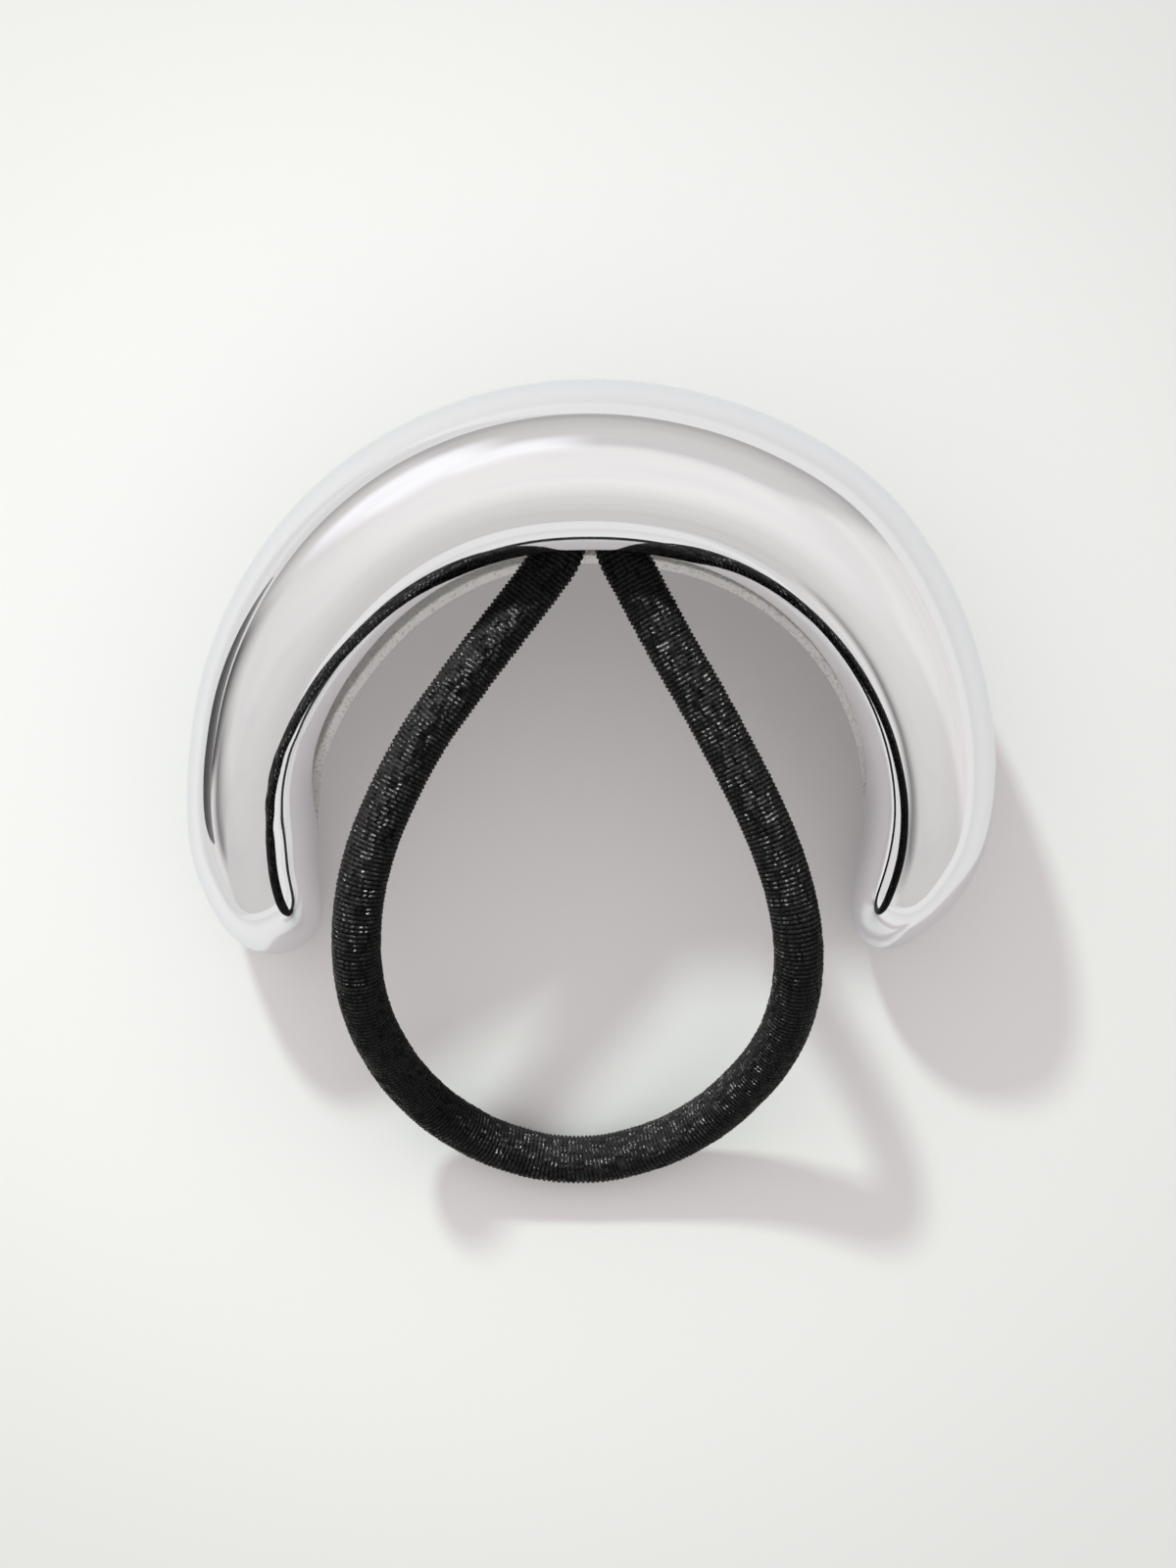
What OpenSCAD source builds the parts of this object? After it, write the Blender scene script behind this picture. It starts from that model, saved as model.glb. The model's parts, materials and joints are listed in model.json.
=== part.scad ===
// Ponytail cuff with an elastic loop.
// A puffed C-shaped metal shell lies on its side. It is open along its inner face, and a bar in
// its hollow holds both ends of a round elastic, which runs out between the lips in a teardrop.
// Millimetres. +Z is up, and the origin is under the middle of the shell, on the surface it lies on.

/* [Cuff] */
// Height of the shell, as a share of the drawn height. The elastic keeps its height, and the lips
// still clear it at the lowest value.
height_scale = 1; // [0.99:0.01:1.1]
// Thickness of the metal
wall = 1.1; // [0.8:0.1:1.4]
// Squareness of the puffed section: 2 is an ellipse, larger is boxier
squareness = 2.35; // [2.2:0.05:2.6]
// Squareness of the two rounded tips, seen from above
tip_squareness = 2.2; // [2:0.1:2.6]

/* [Bar] */
// Width of the bar that holds the elastic
bar_width = 11; // [10:0.5:12]
// Thickness of the bar, front to back
bar_depth = 3.6; // [3.2:0.1:4]
// Gap between the bar and the shell, above and below, where they come nearest
bar_gap = 0.4; // [0.3:0.05:0.6]
// Depth of the blind pocket for the two ends of the elastic
pocket_depth = 2.4; // [1.5:0.1:2.4]

/* [Elastic] */
// Thickness of the elastic
elastic_d = 4; // [3.6:0.1:4]
// Room round each end of the elastic in its pocket
pocket_room = 0.15; // [0.1:0.05:0.3]

/* [Hidden] */

// Centre of the ring, from above
RING = [-0.25, -9.25];

// The shell's sections, one row each, right tip to left tip. Angles run anticlockwise from +X.
ANGLE = 0;  // place round the ring, degrees
LIP = 1;    // radius of the two lips, at the inner side
OUTER = 2;  // radius of the outer side
HEIGHT = 3; // height of the section, which stands on the surface
SLOT = 4;   // height of the slot between the lips, as a share of HEIGHT
SECTIONS = [
    [-29.6, 23.6, 29.7, 10.4, 0],
    [-24, 23.3, 30.2, 13, 0],
    [-18, 23, 31.6, 15.5, 0],
    [-10, 22.7, 32.8, 18.5, 0],
    [0, 22.4, 33.1, 21.6, 0.357],
    [7, 22.3, 33.2, 23.4, 0.527],
    [15, 22, 33.3, 25.2, 0.603],
    [30, 21.2, 33.6, 27.9, 0.65],
    [45, 20.3, 33.8, 29.8, 0.656],
    [60, 19.4, 33.2, 31.1, 0.656],
    [75, 18.6, 32.7, 31.8, 0.656],
    [90, 18.25, 32.5, 32, 0.656],
    [105, 18.4, 32.4, 31.8, 0.656],
    [120, 18.8, 32.4, 31.1, 0.656],
    [135, 19.3, 32.4, 29.8, 0.656],
    [150, 20, 32.3, 27.9, 0.65],
    [165, 21.1, 32.3, 25.2, 0.603],
    [173, 21.7, 32.3, 23.4, 0.527],
    [180, 22, 32.5, 21.6, 0.357],
    [190, 22.3, 32.9, 18.5, 0],
    [198, 23.2, 32.5, 15.5, 0],
    [204, 23.6, 32, 13, 0],
    [209.2, 23.4, 31.5, 10.4, 0],
];
FIRST = SECTIONS[0];
LAST = SECTIONS[len(SECTIONS) - 1];
SLOT_FROM = -10;
SLOT_TO = 190;
// Length of each rounded tip, in degrees of the ring
TIP_SPAN = 9.4;
TIP_RINGS = 5;
// The last ring of a tip stops this share of a step before its end, which is one point
TIP_STOP = 0.7;
JOIN_RINGS = 3;
SLOT_RINGS = 46;
// Points in one ring of the shell's skin, from lip to lip
ACROSS = 26;

// Centre line of the elastic, from one end in the bar round the loop to the other
ROUTE = [
    [2.4, 17.2, 22.8],
    [2.4, 13.7, 22.8],
    [2.4, 11.3, 23],
    [2.7, 9.2, 23.2],
    [3.8, 7, 23.3],
    [5.4, 4, 23.3],
    [7.1, 0.9, 23.2],
    [8.9, -2.2, 23],
    [10.6, -5.3, 22.7],
    [13.7, -11.4, 22],
    [15, -14.5, 21.4],
    [16, -17.7, 20.6],
    [16.6, -20.9, 19.5],
    [16.7, -24, 17.8],
    [16.2, -27.3, 15.2],
    [14.9, -30.6, 11.8],
    [12.4, -34, 8],
    [8.9, -37.1, 4.9],
    [4, -39.5, 2.8],
    [-1.4, -40.4, 2.1],
    [-6.6, -39.5, 2.8],
    [-11.3, -37.1, 4.9],
    [-14.6, -34, 8],
    [-16.7, -30.6, 11.8],
    [-17.9, -27.3, 15.2],
    [-18.4, -24, 17.8],
    [-18.4, -20.9, 19.5],
    [-18, -17.7, 20.6],
    [-17.2, -14.5, 21.4],
    [-16, -11.4, 22],
    [-12.8, -5.3, 22.7],
    [-10.6, -2.2, 23],
    [-8.3, 0.9, 23.2],
    [-5.9, 4, 23.3],
    [-3.6, 7, 23.3],
    [-2.2, 9.2, 23.2],
    [-1.8, 11.3, 23],
    [-1.8, 13.7, 22.8],
    [-1.8, 17.2, 22.8],
];
SIDES = 12;

// Smooth curve through the rows of SECTIONS, with slopes from the rows either side
function slope(i, column) =
    let (a = SECTIONS[max(i - 1, 0)], b = SECTIONS[min(i + 1, len(SECTIONS) - 1)])
    (b[column] - a[column]) / (b[ANGLE] - a[ANGLE]);
function row_below(angle, i = 0) =
    i >= len(SECTIONS) - 2 || SECTIONS[i + 1][ANGLE] > angle ? i : row_below(angle, i + 1);
function smooth(angle, column) =
    let (i = row_below(angle), a = SECTIONS[i], b = SECTIONS[i + 1])
    let (span = b[ANGLE] - a[ANGLE], t = (angle - a[ANGLE]) / span)
    (1 + 2 * t) * (1 - t) ^ 2 * a[column] + t * (1 - t) ^ 2 * span * slope(i, column)
        + t ^ 2 * (3 - 2 * t) * b[column] - t ^ 2 * (1 - t) * span * slope(i + 1, column);

// Size of the section at an angle: half width, half height, radius of its middle, half slot.
// inset is the depth under the outer skin, and the two lips lie on the same curve.
function is_open(angle) = angle > SLOT_FROM && angle < SLOT_TO;
function slot(angle) = is_open(angle) ? smooth(angle, SLOT) : 0;
function lip_reach(angle) = (1 - slot(angle) ^ squareness) ^ (1 / squareness);
function half_width(angle) =
    (smooth(angle, OUTER) - smooth(angle, LIP)) / (1 + lip_reach(angle));
function middle_radius(angle) = smooth(angle, OUTER) - half_width(angle);
function half_height(angle) = smooth(angle, HEIGHT) * height_scale / 2;

// Rounding of a tip: 1 along the shell, falling to 0 at the tip's end, which lies trim degrees
// inside the end of the shell
function tip_start(angle) = angle < 90 ? FIRST[ANGLE] + TIP_SPAN : LAST[ANGLE] - TIP_SPAN;
function tip_part(angle, trim) =
    min(1, max(0, (abs(angle - 90) - abs(tip_start(angle) - 90)) / (TIP_SPAN - trim)));
function rounding(angle, trim) =
    (1 - tip_part(angle, trim) ^ tip_squareness) ^ (1 / tip_squareness);

// Sign-keeping power, for the squared-off ellipse of the section
function bent(value) = sign(value) * abs(value) ^ (2 / squareness);
function place(angle, radius, z) = [RING[0] + radius * cos(angle), RING[1] + radius * sin(angle), z];

// One ring of skin, from the upper lip over the outer side to the lower lip. Where the slot is
// closed, the lower lip is the upper one, and it isn't repeated.
function ring(angle, inset, trim) =
    let (scale = rounding(angle, trim), lip_turn = asin(slot(angle) ^ (squareness / 2)))
    let (last = is_open(angle) ? ACROSS - 1 : ACROSS - 2)
    [for (i = [0:last])
        let (turn = (180 - lip_turn) * (1 - 2 * i / (ACROSS - 1)))
        place(
            angle,
            middle_radius(angle) + (half_width(angle) - inset) * scale * bent(cos(turn)),
            half_height(angle) + (half_height(angle) - inset) * scale * bent(sin(turn))
        )
    ];
function tip(angle) = place(angle, middle_radius(angle), half_height(angle));

// Angles of the rings, right tip to left tip. The rings at both ends of the slot are closed.
function tip_angles(end, trim) =
    let (start = tip_start(end), way = sign(end - start) * (TIP_SPAN - trim))
    [for (i = [1:TIP_RINGS]) start + way * sin(90 * i / (TIP_RINGS + TIP_STOP))];
function between(from, to, count) = [for (i = [0:count - 1]) from + (to - from) * i / count];
function ring_angles(trim) = concat(
    let (angles = tip_angles(FIRST[ANGLE], trim)) [for (i = [TIP_RINGS - 1:-1:0]) angles[i]],
    between(tip_start(0), SLOT_FROM, JOIN_RINGS),
    between(SLOT_FROM, SLOT_TO, SLOT_RINGS),
    between(SLOT_TO, tip_start(180), JOIN_RINGS),
    [tip_start(180)],
    tip_angles(LAST[ANGLE], trim)
);

// Numbering of the skin's points: the open rings hold one point more than the closed ones
RINGS = 2 * TIP_RINGS + 2 * JOIN_RINGS + SLOT_RINGS + 1;
CLOSED_BELOW = TIP_RINGS + JOIN_RINGS;
function open_ring(j) = j > CLOSED_BELOW && j < CLOSED_BELOW + SLOT_RINGS;
function point_id(j, i) =
    j * (ACROSS - 1) + max(0, min(j - CLOSED_BELOW - 1, SLOT_RINGS - 1))
        + (open_ring(j) ? i : i % (ACROSS - 1));
SKIN_POINTS = point_id(RINGS, 0) + 2;
function skin_points(inset, trim) = concat(
    [for (angle = ring_angles(trim)) each ring(angle, inset, trim)],
    [tip(FIRST[ANGLE] + trim), tip(LAST[ANGLE] - trim)]
);
// Two triangles of one patch, and the fans that close the tips
function patch(a, b, c, d) = [[a, b, c], [a, c, d]];
function skin_faces() = concat(
    [for (j = [0:RINGS - 2], i = [0:ACROSS - 2])
        each patch(point_id(j, i), point_id(j + 1, i), point_id(j + 1, i + 1), point_id(j, i + 1))],
    [for (i = [0:ACROSS - 2]) [SKIN_POINTS - 2, point_id(0, i), point_id(0, i + 1)]],
    [for (i = [0:ACROSS - 2])
        [SKIN_POINTS - 1, point_id(RINGS - 1, i + 1), point_id(RINGS - 1, i)]]
);
function lip_faces() = [
    for (j = [CLOSED_BELOW:CLOSED_BELOW + SLOT_RINGS - 1])
        let (a = point_id(j, 0), b = point_id(j + 1, 0))
        let (c = point_id(j, ACROSS - 1), d = point_id(j + 1, ACROSS - 1))
        each concat(
            patch(a, a + SKIN_POINTS, b + SKIN_POINTS, b),
            patch(c, d, d + SKIN_POINTS, c + SKIN_POINTS)
        )
];
function turned(faces, shift) = [for (f = faces) [f[2] + shift, f[1] + shift, f[0] + shift]];

// The hollow ends this many degrees inside each tip
TIP_WALL = 2.6;

module cuff() {
    color([0.78, 0.79, 0.8])
        polyhedron(
            concat(skin_points(0, 0), skin_points(wall, TIP_WALL)),
            concat(skin_faces(), turned(skin_faces(), SKIN_POINTS), lip_faces())
        );
}

// The bar stands across the hollow, as tall as the inside of the shell lets its corners be
POCKET_X = (ROUTE[0][0] + ROUTE[len(ROUTE) - 1][0]) / 2;
POCKET_SPREAD = (ROUTE[0][0] - ROUTE[len(ROUTE) - 1][0]) / 2;
POCKET_R = elastic_d / 2 + pocket_room;
POCKET_SIDES = 48;
// How far the cut for the pocket starts in front of the bar
CUT_AHEAD = 1;
BAR_FRONT = ROUTE[0][1] - pocket_depth;
function inside_height(x, y) =
    let (radius = norm([x - RING[0], y - RING[1]]), angle = atan2(y - RING[1], x - RING[0]))
    let (share = abs(radius - middle_radius(angle)) / (half_width(angle) - wall))
    (half_height(angle) - wall) * (1 - share ^ squareness) ^ (1 / squareness);
BAR_HALF = -bar_gap + min([
    for (x = [-bar_width / 2, bar_width / 2], y = [0, bar_depth])
        inside_height(POCKET_X + x, BAR_FRONT + y)
]);

module cross_bar() {
    color([0.62, 0.63, 0.65])
        difference() {
            translate([POCKET_X - bar_width / 2, BAR_FRONT, half_height(90) - BAR_HALF])
                cube([bar_width, bar_depth, 2 * BAR_HALF]);
            translate([POCKET_X, BAR_FRONT - CUT_AHEAD, ROUTE[0][2]])
                rotate([-90, 0, 0]) {
                    for (x = [-POCKET_SPREAD, POCKET_SPREAD])
                        translate([x, 0, 0])
                            cylinder(h = pocket_depth + CUT_AHEAD, r = POCKET_R, $fn = POCKET_SIDES);
                    translate([-POCKET_SPREAD, -POCKET_R, 0])
                        cube([2 * POCKET_SPREAD, 2 * POCKET_R, pocket_depth + CUT_AHEAD]);
                }
        }
}

// A round cord swept along ROUTE, one ring at each point
function unit(v) = v / norm(v);
function heading(i) = unit(ROUTE[min(i + 1, len(ROUTE) - 1)] - ROUTE[max(i - 1, 0)]);
function cord_ring(i) =
    let (ahead = heading(i), side = unit(cross(ahead, [0, 0, 1])), up = cross(side, ahead))
    [for (k = [0:SIDES - 1])
        ROUTE[i] + elastic_d / 2 * (side * cos(360 * k / SIDES) + up * sin(360 * k / SIDES))];

module elastic() {
    last = len(ROUTE) - 1;
    color([0.1, 0.1, 0.11])
        polyhedron(
            [for (i = [0:last]) each cord_ring(i)],
            concat(
                [[for (k = [SIDES - 1:-1:0]) k]],
                [for (i = [0:last - 1], k = [0:SIDES - 1])
                    let (a = i * SIDES + k, b = i * SIDES + (k + 1) % SIDES)
                    each patch(a, b, b + SIDES, a + SIDES)],
                [[for (k = [0:SIDES - 1]) last * SIDES + k]]
            )
        );
}

cuff();
cross_bar();
elastic();
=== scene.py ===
# %% [markdown]
# # Ponytail cuff with an elastic
# A hair tie of three pieces: a puffed, mirror-bright metal cuff in the shape of a C, a plain bar
# hidden in its hollow, and a black thread-wound elastic whose two ends the bar holds. The packed
# model gives every size, so the first step loads it. Everything is in metres.

# %% Load the frame
import json
import math

import bpy
from mathutils import Matrix, Vector

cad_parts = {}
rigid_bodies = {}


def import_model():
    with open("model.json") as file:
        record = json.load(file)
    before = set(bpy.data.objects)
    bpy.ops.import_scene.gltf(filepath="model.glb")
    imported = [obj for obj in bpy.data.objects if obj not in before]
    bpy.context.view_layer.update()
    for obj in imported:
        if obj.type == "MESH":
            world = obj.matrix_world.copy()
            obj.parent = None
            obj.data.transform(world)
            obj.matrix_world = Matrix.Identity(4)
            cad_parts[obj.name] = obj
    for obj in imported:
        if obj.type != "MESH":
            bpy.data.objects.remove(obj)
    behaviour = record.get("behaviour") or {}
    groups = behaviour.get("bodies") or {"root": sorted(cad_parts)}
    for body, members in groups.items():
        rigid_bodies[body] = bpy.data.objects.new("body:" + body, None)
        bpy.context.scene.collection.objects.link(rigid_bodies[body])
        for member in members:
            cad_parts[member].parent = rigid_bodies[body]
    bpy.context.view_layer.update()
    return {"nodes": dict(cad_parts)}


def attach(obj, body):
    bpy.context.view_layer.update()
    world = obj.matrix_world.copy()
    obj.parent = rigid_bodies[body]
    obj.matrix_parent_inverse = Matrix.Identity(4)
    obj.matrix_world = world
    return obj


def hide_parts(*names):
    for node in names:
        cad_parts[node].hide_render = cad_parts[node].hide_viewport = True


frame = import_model()
MM = 0.001


def deselect_all():
    bpy.ops.object.select_all(action="DESELECT")


def make_active(piece):
    deselect_all()
    piece.select_set(True)
    bpy.context.view_layer.objects.active = piece


# %% [markdown]
# ## Camera
# The photograph looks straight down on the cuff from about 35 cm, from a little to the right of
# it: the far edge of the ring shows on the left and hardly on the right. A plain perspective
# camera at that place, aimed at the middle of the picture, shows the same. Its lens follows from
# the distance and from how much of the table the picture holds.

# %% Camera
RING = Vector((-0.25, -9.25, 0)) * MM
EYE = RING + Vector((8, 0, 350)) * MM
AIM = RING + Vector((-0.2, 0.2, 0)) * MM
SEEN_HEIGHT = 131.7 * MM
SENSOR = 24

back = (EYE - AIM).normalized()
right = Vector((0, 1, 0)).cross(back).normalized()
up = back.cross(right)
bpy.ops.object.camera_add(location=EYE)
camera = bpy.context.object
camera.name = "photo_camera"
camera.rotation_mode = "QUATERNION"
axes = Matrix([[right[i], up[i], back[i]] for i in range(3)])
camera.rotation_quaternion = axes.to_quaternion()
camera.data.sensor_fit = "VERTICAL"
camera.data.sensor_height = SENSOR
camera.data.lens = SENSOR * (EYE - AIM).length / SEEN_HEIGHT
camera.data.clip_start, camera.data.clip_end = 0.01, 10
bpy.context.scene.camera = camera
print("lens", round(camera.data.lens, 2), "mm")

# %% [markdown]
# ## The elastic's route
# The elastic leaves the bar as two strands side by side, spreads out between the lips of the
# cuff, and comes down to the table in one round arc. Its centre line is a short list of points in
# millimetres, the same as the model's. A Bezier curve with automatic handles runs smoothly through
# them, and a mesh copy of that curve tells how long the elastic is.

# %% Centre line of the elastic
ROUTE = [
    (2.4, 17.2, 22.8), (2.4, 13.7, 22.8), (2.4, 11.3, 23), (2.7, 9.2, 23.2), (3.8, 7, 23.3),
    (5.4, 4, 23.3), (7.1, 0.9, 23.2), (8.9, -2.2, 23), (10.6, -5.3, 22.7), (13.7, -11.4, 22),
    (15, -14.5, 21.4), (16, -17.7, 20.6), (16.6, -20.9, 19.5), (16.7, -24, 17.8),
    (16.2, -27.3, 15.2), (14.9, -30.6, 11.8), (12.4, -34, 8), (8.9, -37.1, 4.9),
    (4, -39.5, 2.8), (-1.4, -40.4, 2.1), (-6.6, -39.5, 2.8), (-11.3, -37.1, 4.9),
    (-14.6, -34, 8), (-16.7, -30.6, 11.8), (-17.9, -27.3, 15.2), (-18.4, -24, 17.8),
    (-18.4, -20.9, 19.5), (-18, -17.7, 20.6), (-17.2, -14.5, 21.4), (-16, -11.4, 22),
    (-12.8, -5.3, 22.7), (-10.6, -2.2, 23), (-8.3, 0.9, 23.2), (-5.9, 4, 23.3),
    (-3.6, 7, 23.3), (-2.2, 9.2, 23.2), (-1.8, 11.3, 23), (-1.8, 13.7, 22.8),
    (-1.8, 17.2, 22.8),
]
ELASTIC_D = 4 * MM


def bezier_through(points, name):
    data = bpy.data.curves.new(name, "CURVE")
    data.dimensions = "3D"
    data.resolution_u = 8
    data.twist_mode = "Z_UP"
    spline = data.splines.new("BEZIER")
    spline.bezier_points.add(len(points) - 1)
    for knot, point in zip(spline.bezier_points, points):
        knot.co = Vector(point) * MM
        knot.handle_left_type = knot.handle_right_type = "AUTO"
    curve = bpy.data.objects.new(name, data)
    bpy.context.scene.collection.objects.link(curve)
    return curve


def line_of(curve):
    make_active(curve)
    bpy.ops.object.duplicate()
    bpy.ops.object.convert(target="MESH")
    traced = bpy.context.object
    line = [v.co.copy() for v in traced.data.vertices]
    bpy.data.objects.remove(traced)
    return line


guide = bezier_through(ROUTE, "elastic_guide")
centre_line = line_of(guide)
elastic_length = sum((b - a).length for a, b in zip(centre_line, centre_line[1:]))
print("elastic", round(elastic_length / MM, 1), "mm long,", len(centre_line), "points")

# %% [markdown]
# ## Winding on the elastic
# A hair elastic is rubber wrapped crosswise in thread, so it shows about three fine ribs to the
# millimetre, each a row of small slanting stitches. One pair of rows is modelled: a circle is
# extruded eight times, and the rows between are turned a little, one row left and the next row
# right, which gives the zigzag. The stitches of a row then alternate, high and low. A bump
# texture alone would be quicker, but the edge of the elastic would stay a smooth line.

# %% One pair of rows
# A row is about ABOUT_ROW wide, and just so wide that whole pairs of rows fill the length.
STITCHES = 29
ABOUT_ROW = 0.37 * MM
PAIRS = round(elastic_length / (2 * ABOUT_ROW))
ROW = elastic_length / PAIRS / 2
RIB_HEIGHT = 0.18 * MM
SHOULDER = 0.86
STITCH_TURN = math.radians(1.5)

deselect_all()
bpy.ops.mesh.primitive_circle_add(
    vertices=2 * STITCHES, radius=ELASTIC_D / 2 - RIB_HEIGHT, rotation=(0, math.pi / 2, 0)
)
elastic = bpy.context.object
elastic.name = "elastic_wound"
bpy.ops.object.transform_apply(location=False, rotation=True, scale=False)
bpy.ops.object.mode_set(mode="EDIT")
bpy.ops.mesh.select_all(action="SELECT")
heights = [0, SHOULDER, 1, SHOULDER]
radii = [ELASTIC_D / 2 - RIB_HEIGHT * (1 - h) for h in heights]
RINGS = len(radii)
for step in range(2 * RINGS):
    swell = radii[(step + 1) % RINGS] / radii[step % RINGS]
    swing = 1 if step < RINGS else -1
    bpy.ops.mesh.extrude_edges_move(TRANSFORM_OT_translate={"value": (ROW / RINGS, 0, 0)})
    bpy.ops.transform.resize(value=(1, swell, swell), center_override=(0, 0, 0))
    bpy.ops.transform.rotate(
        value=swing * STITCH_TURN, orient_axis="X", center_override=(0, 0, 0)
    )
bpy.ops.object.mode_set(mode="OBJECT")
print("one pair of rows:", len(elastic.data.polygons), "faces,", PAIRS, "pairs")

# %% Sink every other stitch
# The next row has its high and low stitches the other way round.
SINK = 0.07 * MM
sunk = 0
for vertex in elastic.data.vertices:
    ring = round(vertex.co.x / (ROW / RINGS))
    row, part = divmod(ring, RINGS)
    step = round(math.atan2(vertex.co.z, vertex.co.y) / math.pi * STITCHES)
    if part and (step + row) % 2:
        across = Vector((0, vertex.co.y, vertex.co.z)).normalized()
        vertex.co -= across * SINK
        sunk += 1
print("sunk points:", sunk, "of", len(elastic.data.vertices))

# %% Map of the stitches
# u runs once round the elastic and v grows by one for each row, so a pattern can follow the rows.
stitch_map = elastic.data.uv_layers.new(name="stitches")
for face in elastic.data.polygons:
    turns = [math.atan2(elastic.data.vertices[v].co.z, elastic.data.vertices[v].co.y) / math.tau
             for v in face.vertices]
    wraps = max(turns) - min(turns) > 0.5
    for corner, vertex, turn in zip(face.loop_indices, face.vertices, turns):
        u = turn + (1 if wraps and turn < 0 else 0)
        stitch_map.data[corner].uv = (u, elastic.data.vertices[vertex].co.x / ROW)
print("mapped corners:", len(stitch_map.data))

# %% [markdown]
# ## From two rows to the whole elastic
# An Array repeats the pair of rows from end to end, and a Curve modifier bends the straight run
# along the route, which is far quicker than placing every row by hand. Thread is never wound
# quite evenly, so a Displace modifier with a cloud texture then lifts and sinks the skin by a few
# hundredths of a millimetre. At last both open ends, which the bar hides, are filled.

# %% Wind the whole elastic
JOIN_WITHIN = 0.02 * MM
UNEVEN = 0.12 * MM
LUMP_SIZE = 0.55 * MM

repeat = elastic.modifiers.new("rows", "ARRAY")
repeat.use_relative_offset = False
repeat.use_constant_offset = True
repeat.constant_offset_displace = (2 * ROW, 0, 0)
repeat.count = PAIRS
repeat.offset_v = 1
repeat.use_merge_vertices = True
repeat.merge_threshold = JOIN_WITHIN
follow = elastic.modifiers.new("route", "CURVE")
follow.object = guide
follow.deform_axis = "POS_X"
lumps = bpy.data.textures.new("uneven_winding", "CLOUDS")
lumps.noise_scale = LUMP_SIZE
uneven = elastic.modifiers.new("uneven", "DISPLACE")
uneven.texture = lumps
uneven.strength = UNEVEN
uneven.mid_level = 0.5
make_active(elastic)
for modifier_name in ("rows", "route", "uneven"):
    bpy.ops.object.modifier_apply(modifier=modifier_name)
bpy.data.objects.remove(guide)
print("rows wound:", 2 * PAIRS, "each", round(ROW / MM, 3), "mm wide")

# %% Fill both ends
bpy.ops.object.mode_set(mode="EDIT")
bpy.ops.mesh.select_all(action="DESELECT")
bpy.ops.mesh.select_non_manifold(extend=False, use_boundary=True, use_wire=False,
                                 use_multi_face=False, use_non_contiguous=False, use_verts=False)
bpy.ops.mesh.fill_holes(sides=0)
bpy.ops.mesh.select_all(action="SELECT")
bpy.ops.mesh.normals_make_consistent(inside=False)
bpy.ops.object.mode_set(mode="OBJECT")
bpy.ops.object.shade_smooth()
print("elastic:", len(elastic.data.polygons), "faces")

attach(elastic, "root")
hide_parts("elastic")
print("cord from", [round(x / MM, 1) for x in centre_line[0]], "to",
      [round(x / MM, 1) for x in centre_line[-1]], "mm")

# %% [markdown]
# ## The cuff
# The cuff is one puffed shell with an open back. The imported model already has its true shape, but
# in flat facets, and a mirror shows every facet. So a copy of it is merged into one skin, its
# triangles are paired back into four-sided faces, its lips are rounded, and a Subdivision Surface
# makes the whole smooth.

# %% Copy the shell
SAME_POINT = 0.002 * MM
NEARLY_FLAT = math.radians(60)

source = frame["nodes"]["cuff"]
cuff = bpy.data.objects.new("cuff_polished", source.data.copy())
bpy.context.scene.collection.objects.link(cuff)
cuff.data.materials.clear()
make_active(cuff)
bpy.ops.object.mode_set(mode="EDIT")
bpy.ops.mesh.select_all(action="SELECT")
bpy.ops.mesh.remove_doubles(threshold=SAME_POINT)
bpy.ops.mesh.tris_convert_to_quads(face_threshold=NEARLY_FLAT, shape_threshold=NEARLY_FLAT)
bpy.ops.object.mode_set(mode="OBJECT")
sides = [len(face.vertices) for face in cuff.data.polygons]
print("cuff faces:", sides.count(4), "with four sides,", sides.count(3), "with three")

# %% [markdown]
# ## Polished skin and raw inside
# Only the outer skin is polished. The inside and the cut edges of the lips stay raw. The two
# finishes meet at the sharp edges of the lips, so these are marked, and all that is joined to the
# topmost face without crossing a mark is the polished skin. Picking its faces by hand would have
# to be done again after each change. Then the edges are bevelled, since no real metal edge is
# quite sharp.

# %% Tell the polished skin from the raw inside
SHARP_EDGE = math.radians(50)

bpy.ops.object.mode_set(mode="EDIT")
bpy.ops.mesh.select_mode(type="EDGE")
bpy.ops.mesh.select_all(action="DESELECT")
bpy.ops.mesh.edges_select_sharp(sharpness=SHARP_EDGE)
bpy.ops.mesh.mark_sharp()
bpy.ops.mesh.select_mode(type="FACE")
bpy.ops.mesh.select_all(action="DESELECT")
bpy.ops.object.mode_set(mode="OBJECT")
topmost = max(cuff.data.polygons, key=lambda face: face.center.z)
topmost.select = True
bpy.ops.object.mode_set(mode="EDIT")
bpy.ops.mesh.select_linked(delimit={"SHARP"})
bpy.ops.object.mode_set(mode="OBJECT")
for slot_name in ("polished_metal", "raw_metal"):
    cuff.data.materials.append(bpy.data.materials.new(slot_name))
for face in cuff.data.polygons:
    face.material_index = 0 if face.select else 1
print("polished faces:", sum(face.select for face in cuff.data.polygons),
      "of", len(cuff.data.polygons))

# %% Round the lips
LIP_ROUND = 0.3 * MM

bpy.ops.object.mode_set(mode="EDIT")
bpy.ops.mesh.select_mode(type="EDGE")
bpy.ops.mesh.select_all(action="DESELECT")
bpy.ops.mesh.edges_select_sharp(sharpness=SHARP_EDGE)
bpy.ops.mesh.bevel(offset=LIP_ROUND, segments=3, profile=0.5)
bpy.ops.mesh.select_all(action="SELECT")
bpy.ops.mesh.mark_sharp(clear=True)
bpy.ops.object.mode_set(mode="OBJECT")
smooth = cuff.modifiers.new("smooth", "SUBSURF")
smooth.levels = smooth.render_levels = 2
bpy.ops.object.modifier_apply(modifier="smooth")
bpy.ops.object.shade_smooth()
print("cuff:", len(cuff.data.polygons), "faces")
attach(cuff, "root")
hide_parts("cuff")

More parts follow.
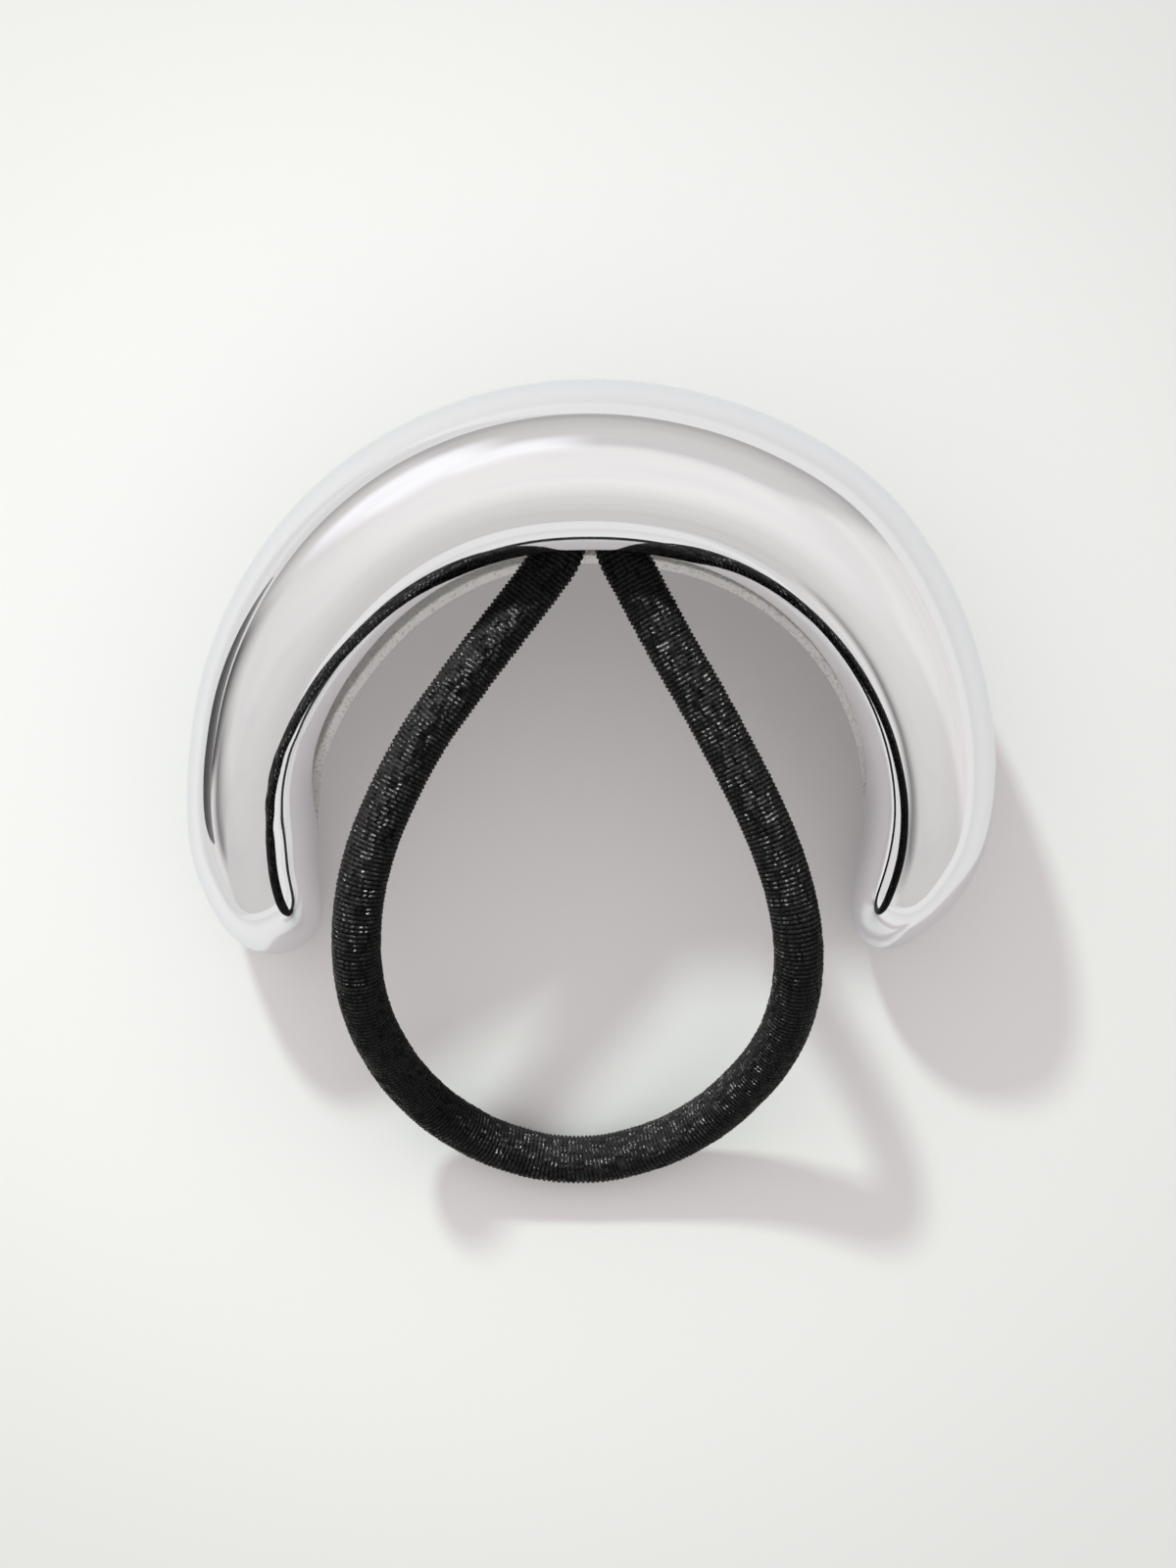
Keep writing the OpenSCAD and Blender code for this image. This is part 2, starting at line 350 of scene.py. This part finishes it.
# %% [markdown]
# ## Materials
# Four finishes. The cuff is plated and polished to a mirror outside, and left as cast inside.
# The bar is plain brushed metal. The elastic is black thread. All are built from nodes, so the
# first cell makes a small helper that adds nodes and joins them.


# %% Helper for node trees
class Nodes:
    """A node tree, with short ways to add nodes and join them."""

    def __init__(self, tree):
        self.tree = tree

    def add(self, kind, inputs=None, **settings):
        node = self.tree.nodes.new("ShaderNode" + kind)
        for name, value in settings.items():
            setattr(node, name, value)
        for name, value in (inputs or {}).items():
            self.join(value, node.inputs[name])
        return node

    def join(self, value, socket):
        if isinstance(value, bpy.types.NodeSocket):
            self.tree.links.new(value, socket)
        elif value is not None:
            socket.default_value = value

    def math(self, operation, *values):
        node = self.add("Math", operation=operation)
        for value, socket in zip(values, node.inputs):
            self.join(value, socket)
        return node.outputs[0]

    def vector_math(self, operation, *values):
        node = self.add("VectorMath", operation=operation)
        for value, socket in zip(values, node.inputs):
            self.join(value, socket)
        return node.outputs["Value" if operation in ("DOT_PRODUCT", "DISTANCE") else "Vector"]

    def range(self, value, low, high, to_low=0, to_high=1, smooth=False):
        return self.add("MapRange", {
            "Value": value, "From Min": low, "From Max": high, "To Min": to_low, "To Max": to_high,
        }, interpolation_type="SMOOTHSTEP" if smooth else "LINEAR").outputs["Result"]

    def noise(self, place, scale, detail):
        return self.add(
            "TexNoise", {"Vector": place, "Scale": scale, "Detail": detail}
        ).outputs["Fac"]

    def stretched(self, place, scales):
        return self.add("Mapping", {"Vector": place, "Scale": scales}).outputs[0]

    def mix(self, share, first, second):
        node = self.add("Mix", data_type="RGBA")
        for value, socket in ((share, node.inputs["Factor"]), (first, node.inputs[6]),
                              (second, node.inputs[7])):
            self.join(value, socket)
        return node.outputs[2]

    def ramp(self, value, stops):
        node = self.add("ValToRGB", {"Fac": value})
        node.color_ramp.elements.remove(node.color_ramp.elements[1])
        for i, (place, colour) in enumerate(stops):
            stop = (node.color_ramp.elements[0] if i == 0
                    else node.color_ramp.elements.new(place))
            stop.position = place
            stop.color = (*colour, 1)
        return node.outputs["Color"]

    def bump(self, height, depth, strength, normal=None):
        return self.add("Bump", {
            "Height": height, "Distance": depth, "Strength": strength, "Normal": normal
        }).outputs["Normal"]

    def place(self):
        return self.add("TexCoord").outputs["Object"]


def start_material(material):
    material.use_nodes = True
    return Nodes(material.node_tree), material.node_tree.nodes["Principled BSDF"]


def grey(value):
    return (value, value, value)


def tell_nodes(material):
    print(material.name + ":", len(material.node_tree.nodes), "nodes")


# %% [markdown]
# ## Marks of handling
# No metal surface is perfectly even. Wiping leaves fine hair scratches, and fingers leave dull
# patches. The polished and the brushed metal share these marks, so they are one node group with
# inputs for their size, and each material places it with its own values. A scratch is a noise
# pattern stretched until only long hairs of it are left.

# %% Node group for marks
marks = bpy.data.node_groups.new("handling_marks", "ShaderNodeTree")
for name, way in (
    ("Scratch Scale", "INPUT"), ("Patch Scale", "INPUT"), ("Height", "OUTPUT"),
    ("Dullness", "OUTPUT"),
):
    marks.interface.new_socket(name=name, socket_type="NodeSocketFloat", in_out=way)
group = Nodes(marks)
marks_in = marks.nodes.new("NodeGroupInput")
marks_out = marks.nodes.new("NodeGroupOutput")
spot = group.place()
scratch_scale = marks_in.outputs["Scratch Scale"]
long_way = group.noise(group.stretched(spot, (1, 0.06, 0.3)), scratch_scale, 3)
cross_way = group.noise(group.stretched(spot, (0.08, 1, 0.3)), scratch_scale, 3)
hairs = group.math("MAXIMUM", group.range(long_way, 0.62, 0.72), group.range(cross_way, 0.64, 0.74))
patches = group.range(group.noise(spot, marks_in.outputs["Patch Scale"], 4), 0.45, 0.75)
group.join(group.math("MULTIPLY", hairs, -1.0), marks_out.inputs["Height"])
group.join(group.math("MULTIPLY_ADD", hairs, 0.5, patches), marks_out.inputs["Dullness"])
print("marks of handling:", len(marks.nodes), "nodes")


def add_marks(sheet, scratch_scale, patch_scale):
    node = sheet.add("Group", node_tree=marks)
    node.inputs["Scratch Scale"].default_value = scratch_scale
    node.inputs["Patch Scale"].default_value = patch_scale
    return node.outputs["Height"], node.outputs["Dullness"]


# %% [markdown]
# ## Polished metal
# The outside is plated and buffed until it mirrors the room. A mirror in Blender is a metal with
# almost no roughness. It looks false when it is perfect, so the marks of handling dull it a
# little here and there, and long shallow waves, which hand polishing leaves, bend the mirror
# image. The edge tint takes a little from what is mirrored at a grazing angle, which is the pale
# band all round the outside of the cuff.

# %% Polished metal
SILVER = (0.905, 0.897, 0.925, 1)
EDGE_TINT = (0.88, 0.89, 0.91, 1)
MIRROR, FINGERED = 0.035, 0.085
WAVE_DEPTH = 0.12 * MM
SCRATCH_DEPTH = 0.0006 * MM

sheet, shader = start_material(cuff.data.materials[0])
shader.inputs["Base Color"].default_value = SILVER
shader.inputs["Specular Tint"].default_value = EDGE_TINT
shader.inputs["Metallic"].default_value = 1
hair_height, dullness = add_marks(sheet, scratch_scale=4500, patch_scale=90)
sheet.join(sheet.range(dullness, 0, 1.5, MIRROR, FINGERED), shader.inputs["Roughness"])
waves = sheet.noise(sheet.place(), 110, 1)
hand_polish = sheet.bump(waves, WAVE_DEPTH, 0.25)
sheet.join(sheet.bump(hair_height, SCRATCH_DEPTH, 0.5, hand_polish), shader.inputs["Normal"])
tell_nodes(cuff.data.materials[0])

# %% [markdown]
# ## Raw metal
# Where the slot was cut, and inside, the casting was left alone: grey, grainy and half dull, with
# small dark pits. One noise gives the grain, in height and in gloss, and a second the pits.

# %% Raw metal of the inside
PIT = (0.72, 0.705, 0.69)
BARE = (1, 0.99, 0.98)
WORN, GRAINY = 0.3, 0.6
GRAIN_DEPTH = 0.16 * MM

sheet, shader = start_material(cuff.data.materials[1])
shader.inputs["Metallic"].default_value = 0.4
spot = sheet.place()
grain = sheet.noise(spot, 3200, 4)
pits = sheet.noise(spot, 4200, 2)
sheet.join(sheet.ramp(pits, [(0.34, PIT), (0.44, BARE)]), shader.inputs["Base Color"])
sheet.join(sheet.range(grain, 0.35, 0.65, WORN, GRAINY), shader.inputs["Roughness"])
sheet.join(sheet.bump(grain, GRAIN_DEPTH, 1), shader.inputs["Normal"])
tell_nodes(cuff.data.materials[1])

# %% [markdown]
# ## Plain metal of the bar
# The bar is hardly seen from outside, so it gets a plain brushed finish: the same marks of
# handling, coarser and deeper, on a duller metal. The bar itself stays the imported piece.

# %% Plain metal of the bar
BRUSHED, STAINED = 0.28, 0.48
BRUSH_DEPTH = 0.02 * MM

plain = bpy.data.materials.new("plain_metal")
sheet, shader = start_material(plain)
shader.inputs["Metallic"].default_value = 1
hair_height, dullness = add_marks(sheet, scratch_scale=2600, patch_scale=300)
sheet.join(sheet.range(dullness, 0, 1.5, BRUSHED, STAINED), shader.inputs["Roughness"])
sheet.join(sheet.ramp(dullness, [(0, grey(0.62)), (1, grey(0.5))]), shader.inputs["Base Color"])
sheet.join(sheet.bump(hair_height, BRUSH_DEPTH, 0.6), shader.inputs["Normal"])
bar = frame["nodes"]["cross_bar"]
bar.data.materials.clear()
bar.data.materials.append(plain)
tell_nodes(plain)

# %% [markdown]
# ## Black thread
# The thread's colour is nearly black. What shows it as thread is light: the crests of the rows
# catch it, and single smooth fibres glint where they face the lamp. The grooves between the rows
# stay dark, partly in real shade and partly by painted shade, since their colour is set darker than
# the crests'. The pattern reads the map of the stitches, so it follows every bend of the elastic.
# Each stitch draws its own number, and from it its own tilt, colour and gloss.

# %% Find the stitch
# The whole part of along is the row's number, and the whole part of leaning the stitch's in it.
FIBRES = 52
SLANT = 0.8

thread = bpy.data.materials.new("black_thread")
sheet, shader = start_material(thread)
stitches = sheet.add("SeparateXYZ", {"Vector": sheet.add("UVMap", uv_map="stitches").outputs["UV"]})
along = stitches.outputs["Y"]
around = sheet.math("MULTIPLY", stitches.outputs["X"], FIBRES)
leaning = sheet.math("MULTIPLY_ADD", sheet.math("PINGPONG", along, 1), SLANT, around)
stitch = sheet.add("CombineXYZ", {
    "X": sheet.math("FLOOR", leaning), "Y": sheet.math("FLOOR", along)
}).outputs[0]
chance = sheet.add("TexWhiteNoise", {"Vector": stitch})
draw = sheet.add("SeparateXYZ", {"Vector": chance.outputs["Color"]})
print("stitches drawn in each row:", FIBRES)

# %% Tilt the stitches
FUZZ = 0.3
THREAD_DEPTH = 0.22 * MM


def slope(way, chance, most):
    """A height that rises or falls through each stitch, by as much as chance gives it."""
    from_middle = sheet.math("SUBTRACT", sheet.math("FRACT", way), 0.5)
    return sheet.math("MULTIPLY", from_middle, sheet.range(chance, 0, 1, -most, most))


across = slope(leaning, draw.outputs["X"], 0.8)
down = slope(along, draw.outputs["Y"], 1)
fuzz = sheet.noise(sheet.place(), 5000, 2)
height = sheet.math("ADD", sheet.math("ADD", across, down), sheet.math("MULTIPLY", fuzz, FUZZ))
sheet.join(sheet.bump(height, THREAD_DEPTH, 1), shader.inputs["Normal"])
print("thread so far:", len(sheet.tree.nodes), "nodes")

# %% Colour and gloss of the thread
GROOVE_SHADE = (0.002, 0.002, 0.0021, 1)
FIBRE_BLACK = (0.008, 0.0078, 0.008)
SMOOTH_FIBRE, ROUGH_FIBRE = 0.24, 0.4

# Painted shade: the grooves between the rows get a darker colour than the crests.
crest = sheet.math("MULTIPLY", sheet.math("PINGPONG", along, 0.5), 2)
on_crest = sheet.range(crest, 0.12, 0.5)
tint = sheet.ramp(chance.outputs["Value"], [(0.1, grey(0.002)), (0.9, FIBRE_BLACK)])
sheet.join(sheet.mix(on_crest, GROOVE_SHADE, tint), shader.inputs["Base Color"])
gloss = sheet.range(draw.outputs["Z"], 0, 1, SMOOTH_FIBRE, ROUGH_FIBRE)
sheet.join(sheet.range(on_crest, 0, 1, 1, gloss), shader.inputs["Roughness"])
shader.inputs["Specular IOR Level"].default_value = 0.14
elastic.data.materials.append(thread)
tell_nodes(thread)

# %% [markdown]
# ## Table
# The table is a plain pale sheet. A lens darkens the corners of a picture, and the window's light
# falls off to the right, so the sheet's colour is shaded by the distance from two places. Beyond
# the picture it is shaded for what the metal has to reflect.

# %% Table
TABLE_SIZE = 4
LIT_PLACE = (-0.055, 0.02, 0)
LIT_PAPER = (0.945, 0.912, 0.926, 1)
FAR_PAPER = (0.795, 0.767, 0.781, 1)
CORNERS, BEYOND, LEFT_EDGE = 0.92, 1.12, 0.87

bpy.ops.mesh.primitive_plane_add(size=TABLE_SIZE, location=(0, 0, 0))
table = bpy.context.object
table.name = "table"
paper = bpy.data.materials.new("pale_sheet")
sheet, shader = start_material(paper)
shader.inputs["Roughness"].default_value = 0.8
shader.inputs["Specular IOR Level"].default_value = 0.1
spot = sheet.place()
# Painted light and shade: the sheet is painted lighter near LIT_PLACE and darker further off,
# darker towards the corners and at the left edge, and lighter beyond.
from_lit = sheet.vector_math("DISTANCE", spot, LIT_PLACE)
falling = sheet.range(from_lit, 10 * MM, 140 * MM, smooth=True)
shade = sheet.mix(falling, LIT_PAPER, FAR_PAPER)
from_ring = sheet.vector_math("DISTANCE", spot, tuple(RING))
corners = sheet.range(from_ring, 45 * MM, 85 * MM, 1, CORNERS, smooth=True)
beyond = sheet.range(from_ring, 85 * MM, 120 * MM, 1, BEYOND, smooth=True)
across_table = sheet.add("SeparateXYZ", {"Vector": spot}).outputs["X"]
left_edge = sheet.range(across_table, -66 * MM, -50 * MM, LEFT_EDGE, 1, smooth=True)
falloff = sheet.math("MULTIPLY", sheet.math("MULTIPLY", corners, beyond), left_edge)
sheet.join(sheet.vector_math("MULTIPLY", shade, falloff), shader.inputs["Base Color"])
table.data.materials.append(paper)
tell_nodes(paper)

# %% [markdown]
# ## Dark card
# The dark line down the left of the metal mirrors something dark beyond the sheet's left edge.
# A line painted on the metal would be wrong from every other side, so a low card stands there,
# and the metal finds the line by itself. The card is an arc of a circle round the ring, whose
# lower edge rises towards both ends, so that the line runs out in points. It shows in the metal
# only, and is hidden from the camera and from the light.

# %% Bend and trim the card
CARD_RADIUS, CARD_HEIGHT = 81 * MM, 21 * MM
CARD_FROM, CARD_TO = 152, 213
ROUND_THE_RING = 180


def bearing_of(vertex):
    """Degrees from the right, against the clock."""
    return math.degrees(math.atan2(vertex.co.y, vertex.co.x)) % 360


bpy.ops.mesh.primitive_circle_add(
    vertices=ROUND_THE_RING, radius=CARD_RADIUS, location=RING
)
card = bpy.context.object
card.name = "dark_card"
bpy.ops.object.mode_set(mode="EDIT")
bpy.ops.mesh.select_mode(type="VERT")
bpy.ops.mesh.select_all(action="DESELECT")
bpy.ops.object.mode_set(mode="OBJECT")
for vertex in card.data.vertices:
    vertex.select = not CARD_FROM <= bearing_of(vertex) <= CARD_TO
bpy.ops.object.mode_set(mode="EDIT")
bpy.ops.mesh.delete(type="VERT")
bpy.ops.mesh.select_all(action="SELECT")
bpy.ops.mesh.extrude_edges_move(TRANSFORM_OT_translate={"value": (0, 0, CARD_HEIGHT)})
bpy.ops.object.mode_set(mode="OBJECT")
for vertex in card.data.vertices:
    share = (bearing_of(vertex) - CARD_FROM) / (CARD_TO - CARD_FROM) * 2 - 1
    vertex.co.z = max(vertex.co.z, CARD_HEIGHT * share ** 2)
card.visible_camera = card.visible_diffuse = card.visible_shadow = False
print("card:", len(card.data.polygons), "faces")

# %% Paint the card
# It is darkest at its foot, and pale at the end nearer the window, where the line fades out.
FADE_FROM, FADE_TO = math.radians(14), math.radians(30)
PALE = (0.4, 0.4, 0.4, 1)

card_paint = bpy.data.materials.new("card_paint")
sheet, shader = start_material(card_paint)
shader.inputs["Roughness"].default_value = 0.9
shader.inputs["Specular IOR Level"].default_value = 0.1
spot = sheet.add("SeparateXYZ", {"Vector": sheet.place()})
from_left = sheet.math("ARCTAN2", spot.outputs["Y"], sheet.math("MULTIPLY", spot.outputs["X"], -1))
above = sheet.range(spot.outputs["Z"], 0, CARD_HEIGHT)
dark = sheet.ramp(above, [(0, grey(0.1)), (0.5, grey(0.13)), (0.75, grey(0.21)), (1, grey(0.36))])
upper_end = sheet.range(from_left, FADE_FROM, FADE_TO, smooth=True)
sheet.join(sheet.mix(upper_end, dark, PALE), shader.inputs["Base Color"])
card.data.materials.append(card_paint)
tell_nodes(card_paint)

# %% [markdown]
# ## Lamps
# The shadows fall to the lower right with fairly sharp edges, so they come from one bright window
# at the upper left, and a Sun lamp in that direction stands for it. Its shadows give its height
# above the table. One lamp for all would leave the thread without its glints and put a hard white
# dot in the metal. So there are three lamps in the one direction, and light linking gives each its
# own pieces. The thread's is stronger. The metal's is left out of reflections, and the bright pane
# in the room, further down, takes its place there.

# %% Lamps
LAMP_HEIGHT = math.radians(38.2)
LAMP_SIDE = Vector((-0.37, 0.929, 0))
WINDOW, WINDOW_WIDTH = 1.457, 5
WINDOW_COLOUR = (0.815, 1.0, 0.9)
ON_THREAD, ON_THREAD_WIDTH = 17, 6
ON_THREAD_COLOUR = (1, 0.98, 0.97)
towards_lamp = LAMP_SIDE * math.cos(LAMP_HEIGHT) + Vector((0, 0, math.sin(LAMP_HEIGHT)))


def add_lamp(name, strength, width, colour, pieces):
    """A Sun lamp at the window's place that lights only these pieces. Its width is in degrees."""
    bpy.ops.object.light_add(type="SUN", location=RING + towards_lamp)
    lamp = bpy.context.object
    lamp.name = name
    lamp.data.energy = strength
    lamp.data.angle = math.radians(width)
    lamp.data.color = colour
    lamp.rotation_mode = "QUATERNION"
    lamp.rotation_quaternion = towards_lamp.to_track_quat("Z", "Y")
    lit = bpy.data.collections.new(name + "_lights")
    for piece in pieces:
        lit.objects.link(piece)
    lamp.light_linking.receiver_collection = lit
    return lamp


add_lamp("window", WINDOW, WINDOW_WIDTH, WINDOW_COLOUR, [table])
add_lamp("window_on_thread", ON_THREAD, ON_THREAD_WIDTH, ON_THREAD_COLOUR, [elastic])
on_metal = add_lamp("window_on_metal", WINDOW, WINDOW_WIDTH, WINDOW_COLOUR, [cuff, bar])
on_metal.visible_glossy = False
print("lamps", round(math.degrees(LAMP_HEIGHT), 1), "degrees above the table")

# %% [markdown]
# ## Room
# A mirror shows nothing but what is round it, so this is where the look of the cuff is made. The
# world is painted with nodes: for each side of the room, one list says how bright it is at each
# height above the horizon, and the sides are blended into one another round the compass. Bearings
# are degrees from the right, against the clock, so 90 is beyond the top of the picture and 180 is
# to the left. The window is at the upper left, at 138. The room is dark low down at the left and in
# the lower left corner, which gives the metal the lines that set it off from the white table.

# %% Ways to paint the room
room = bpy.data.worlds.new("soft_room")
bpy.context.scene.world = room
room.use_nodes = True
sky = Nodes(room.node_tree)
way = sky.add("TexCoord").outputs["Generated"]
rise = sky.add("SeparateXYZ", {"Vector": way}).outputs["Z"]
flat_way = sky.vector_math("NORMALIZE", sky.vector_math("MULTIPLY", way, (1, 1, 0)))
print("world:", room.name)


def sine(degrees):
    return math.sin(math.radians(degrees))


def by_height(*stops):
    """Greys by height above the horizon: (degrees, grey)."""
    return sky.ramp(rise, [(sine(degrees), grey(value)) for degrees, value in stops])


def on_side(degrees, inside, outside):
    """1 within so many degrees to either side of a bearing, falling to 0 at a wider angle."""
    side = math.radians(degrees)
    facing = sky.vector_math("DOT_PRODUCT", flat_way, (math.cos(side), math.sin(side), 0))
    edges = [math.cos(math.radians(a)) for a in (outside, inside)]
    return sky.range(facing, *edges, smooth=True)


def patch_of_light(bearing, lowest, low, high, highest):
    """A soft-edged bright patch: how far it is on at each place of the sky."""
    rising = sky.range(rise, sine(lowest), sine(low), smooth=True)
    falling = sky.range(rise, sine(highest), sine(high), smooth=True)
    return sky.math("MULTIPLY", on_side(*bearing), sky.math("MULTIPLY", rising, falling))


# %% Sides of the room
behind = by_height(
    (0, 0.44), (5, 0.46), (11, 0.55), (18, 0.58), (28, 0.64), (58, 0.66), (62, 0.76), (67, 0.85),
    (74, 0.87), (90, 0.87))
front = by_height(
    (0, 0.62), (16, 0.63), (27, 0.67), (45, 0.72), (55, 0.79), (62, 0.83), (74, 0.88), (90, 0.87))
far_left = by_height(
    (0, 0.07), (4, 0.13), (8, 0.24), (14, 0.42), (18, 0.51), (22, 0.6), (30, 0.74), (55, 0.78),
    (70, 0.87), (90, 0.87))
near_left = by_height(
    (0, 0.4), (4, 0.47), (9, 0.56), (14, 0.63), (22, 0.71), (30, 0.77), (50, 0.86), (70, 0.87),
    (90, 0.87))
near_corner = by_height(
    (0, 0.78), (5, 0.74), (9, 0.52), (13, 0.23), (16, 0.3), (20, 0.48), (25, 0.62), (30, 0.72),
    (55, 0.78), (70, 0.87), (90, 0.87))
far_right = by_height(
    (0, 0.78), (30, 0.8), (46, 0.84), (54, 0.79), (62, 0.8), (70, 0.87), (90, 0.87))
light = sky.mix(on_side(70, 52, 66), front, behind)
light = sky.mix(on_side(148, 18, 30), light, near_left)
light = sky.mix(on_side(200, 20, 34), light, far_left)
light = sky.mix(on_side(-8, 26, 44), light, far_right)
light = sky.mix(on_side(226, 10, 25), light, near_corner)
print("sides of the room:", len(sky.tree.nodes), "nodes")

# %% Window and haze
ROOM_STRENGTH = 1.08
WHITE = (1, 1, 1, 1)

warm_by_height = sky.ramp(rise, [
    (sine(30), (0.975, 0.955, 0.922)), (sine(68), (0.98, 0.975, 0.94))])
light = sky.vector_math("MULTIPLY", light, warm_by_height)
window_pane = patch_of_light((138, 12, 32), 18, 31, 54, 68)
upper_pane = patch_of_light((118, 10, 30), 38, 54, 60, 74)
light = sky.mix(sky.math("MAXIMUM", window_pane, upper_pane), light, WHITE)
haze = sky.noise(sky.stretched(way, (1.6, 1.6, 5)), 1.5, 2)
light = sky.vector_math("MULTIPLY", light, sky.ramp(haze, [
    (0.3, (0.955, 0.95, 0.965)), (0.5, (0.99, 0.985, 0.985)), (0.7, (1, 1, 1))]))
background = room.node_tree.nodes["Background"]
sky.join(light, background.inputs["Color"])
background.inputs["Strength"].default_value = ROOM_STRENGTH
bpy.context.scene.view_settings.view_transform = "Standard"
bpy.context.scene.view_settings.look = "None"
print("whole room:", len(sky.tree.nodes), "nodes")
